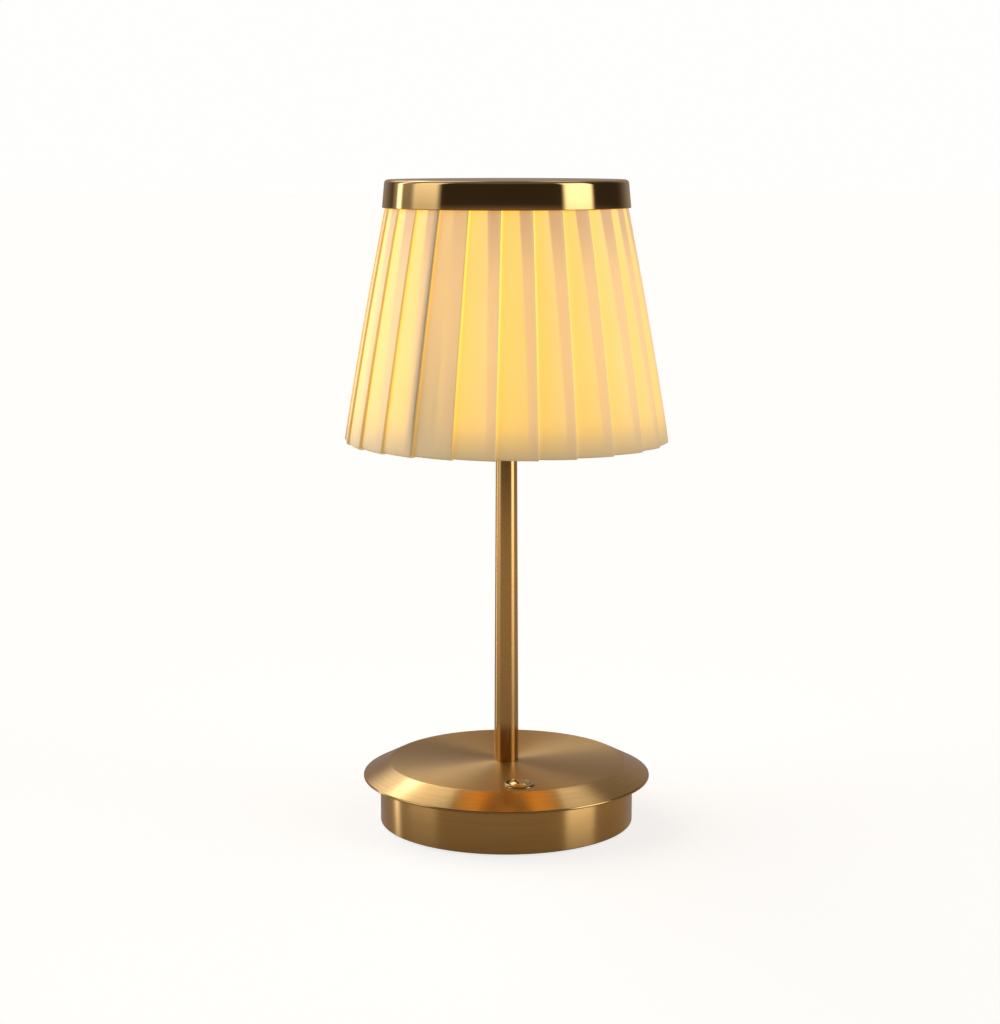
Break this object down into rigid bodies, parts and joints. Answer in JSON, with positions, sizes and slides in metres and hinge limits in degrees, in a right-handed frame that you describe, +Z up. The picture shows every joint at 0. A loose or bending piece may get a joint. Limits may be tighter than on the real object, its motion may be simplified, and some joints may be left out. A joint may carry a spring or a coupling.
{
  "type": "table lamp with shade",
  "caption": "Cordless table lamp with a round two-step brass base, a slim stem and a pleated cloth shade under a brass lid; press button, shade that turns and lifts off.",
  "frame": {"origin": "on the table, under the middle of the base", "axes": "+Z up along the stem, -Y towards the button, +Y towards the charging socket"},
  "size_m": [0.1492, 0.1492, 0.3],
  "materials": {
    "satin_brass": "brushed satin brass, lacquered",
    "polished_brass": "polished brass",
    "zinc_steel": "zinc plated steel",
    "foot_rubber": "matt black rubber",
    "cast_weight": "as cast, black",
    "black_plastic": "moulded, fine texture",
    "white_plastic": "moulded nylon",
    "cell_wrap": "heat-shrunk sleeve",
    "red_lead": "silicone insulation",
    "black_lead": "silicone insulation",
    "white_lead": "silicone insulation",
    "green_board": "solder resist on glass fibre",
    "head_aluminium": "turned aluminium",
    "emitter": "phosphor under silicone",
    "frosted_dome": "frosted light diffuser",
    "shade_wire": "white powder coat",
    "shade_liner": "thin translucent film",
    "pleated_cloth": "cream plain-weave cloth, knife pleats"
  },
  "bodies": {
    "root": {"base_top_plate": "satin_brass", "base_drum": "satin_brass", "base_bottom_plate": "zinc_steel", "foot_ring": "foot_rubber", "counterweight": "cast_weight", "plate_post_1": "zinc_steel", "plate_post_2": "zinc_steel", "plate_post_3": "zinc_steel", "plate_post_4": "zinc_steel", "bottom_screw_1": "zinc_steel", "bottom_screw_2": "zinc_steel", "bottom_screw_3": "zinc_steel", "bottom_screw_4": "zinc_steel", "battery_cradle": "black_plastic", "battery_cell": "cell_wrap", "battery_lead_red": "red_lead", "battery_lead_black": "black_lead", "button_lead": "white_lead", "lamp_lead": "black_lead", "control_board": "green_board", "board_standoff_1": "white_plastic", "board_standoff_2": "white_plastic", "board_standoff_3": "white_plastic", "board_standoff_4": "white_plastic", "board_screw_1": "zinc_steel", "board_screw_2": "zinc_steel", "board_screw_3": "zinc_steel", "board_screw_4": "zinc_steel", "button_connector": "white_plastic", "lamp_connector": "white_plastic", "battery_connector": "white_plastic", "charge_socket": "zinc_steel", "socket_bezel": "black_plastic", "button_board": "green_board", "button_post_1": "white_plastic", "button_post_2": "white_plastic", "tact_switch": "black_plastic", "button_bezel": "polished_brass", "stem_tube": "satin_brass", "stem_nipple": "zinc_steel", "stem_washer": "zinc_steel", "stem_nut": "zinc_steel", "head_plate": "head_aluminium", "led_board": "head_aluminium", "led_emitter": "emitter", "diffuser_dome": "frosted_dome", "diffuser_clamp": "polished_brass"},
    "button": {"button_cap": "polished_brass", "tact_plunger": "white_plastic"},
    "glide": {"glide_washer": "white_plastic"},
    "shade": {"fitter_ring": "shade_wire", "frame_arm_1": "shade_wire", "frame_arm_2": "shade_wire", "frame_arm_3": "shade_wire", "upper_ring": "shade_wire", "lower_ring": "shade_wire", "shade_liner": "shade_liner", "pleated_cloth": "pleated_cloth", "top_lid": "polished_brass"}
  },
  "joints": [
    {"name": "button_press", "type": "slide", "parent": "root", "child": "button", "axis": [0, 0, -1], "range_m": [0, 0.0007], "stiffness_N_per_m": 1500},
    {"name": "shade_turn", "type": "hinge", "parent": "root", "child": "glide", "pos_m": [0, 0, 0.2075], "axis": [0, 0, 1], "continuous": true},
    {"name": "shade_lift", "type": "slide", "parent": "glide", "child": "shade", "axis": [0, 0, 1], "range_m": [0, 0.09]}
  ]
}
